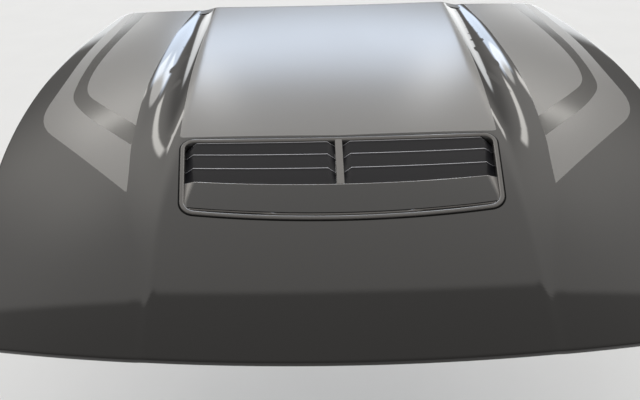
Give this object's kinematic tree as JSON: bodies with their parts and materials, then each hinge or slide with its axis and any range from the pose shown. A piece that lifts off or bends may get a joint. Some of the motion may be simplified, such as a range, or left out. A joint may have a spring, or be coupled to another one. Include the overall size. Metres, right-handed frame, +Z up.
{
  "type": "vented car bonnet",
  "caption": "Domed steel car bonnet with side flutes and a louvred heat vent, hung on two hinges and held open by gas struts.",
  "frame": {"origin": "centre of the four bolt holes under the two hinge feet, in the plane of the feet's lower faces", "axes": "+Z up, +Y rearwards to the windscreen, +X to the car's left; the bonnet is shut at rest"},
  "size_m": [1.5938, 1.3204, 0.2666],
  "materials": {
    "bonnet_paint": "gloss black paint with satin graphic fields",
    "inner_paint": "semi-gloss black coat",
    "gloss_trim": "high gloss black",
    "louvre_plastic": "fine grained matte black",
    "hinge_paint": "black electrocoat",
    "zinc_steel": "zinc plated",
    "strut_paint": "satin black",
    "strut_chrome": "ground and chromed rod",
    "seal_rubber": "matt black rubber",
    "pad_fabric": "needled black fleece",
    "clip_plastic": "moulded black"
  },
  "bodies": {
    "car_side": {"hinge_bracket_left": "hinge_paint", "hinge_bracket_right": "hinge_paint", "hinge_pin_left": "zinc_steel", "hinge_pin_right": "zinc_steel"},
    "bonnet": {"bump_stop_left": "seal_rubber", "bump_stop_right": "seal_rubber", "front_seal": "seal_rubber", "hinge_arm_left": "hinge_paint", "hinge_arm_right": "hinge_paint", "inner_panel": "inner_paint", "insulator_pad": "pad_fabric", "latch_striker": "zinc_steel", "liner_clips": "clip_plastic", "outer_skin": "bonnet_paint", "striker_plate": "zinc_steel", "strut_bracket_left": "hinge_paint", "strut_bracket_right": "hinge_paint", "vent_bezel": "gloss_trim", "vent_deflector": "gloss_trim", "vent_louvres_left": "louvre_plastic", "vent_louvres_right": "louvre_plastic"},
    "strut_tube_left": {"strut_tube_left": "strut_paint"},
    "strut_tube_right": {"strut_tube_right": "strut_paint"},
    "strut_rod_left": {"strut_rod_left": "strut_chrome"},
    "strut_rod_right": {"strut_rod_right": "strut_chrome"}
  },
  "joints": [
    {"name": "bonnet_hinge", "type": "hinge", "parent": "car_side", "child": "bonnet", "pos_m": [0, 0.045, 0.048], "axis": [-1, 0, 0], "range_deg": [0, 46]},
    {"name": "strut_swing_left", "type": "hinge", "parent": "car_side", "child": "strut_tube_left", "pos_m": [0.59, 0.01268, -0.02518], "axis": [-1, 0, 0], "range_deg": [0, 45.5]},
    {"name": "strut_stroke_left", "type": "slide", "parent": "strut_tube_left", "child": "strut_rod_left", "axis": [0, -0.9718, 0.2357], "range_m": [0, 0.0629]},
    {"name": "strut_swing_right", "type": "hinge", "parent": "car_side", "child": "strut_tube_right", "pos_m": [-0.59, 0.01268, -0.02518], "axis": [-1, 0, 0], "range_deg": [0, 45.5]},
    {"name": "strut_stroke_right", "type": "slide", "parent": "strut_tube_right", "child": "strut_rod_right", "axis": [0, -0.9718, 0.2357], "range_m": [0, 0.0629]}
  ],
  "couplings": [
    {"joint": "strut_swing_left", "follows": "bonnet_hinge", "ratio": 0.9664},
    {"joint": "strut_stroke_left", "follows": "bonnet_hinge", "m_per_rad": 0.07763},
    {"joint": "strut_swing_right", "follows": "bonnet_hinge", "ratio": 0.9664},
    {"joint": "strut_stroke_right", "follows": "bonnet_hinge", "m_per_rad": 0.07763}
  ]
}
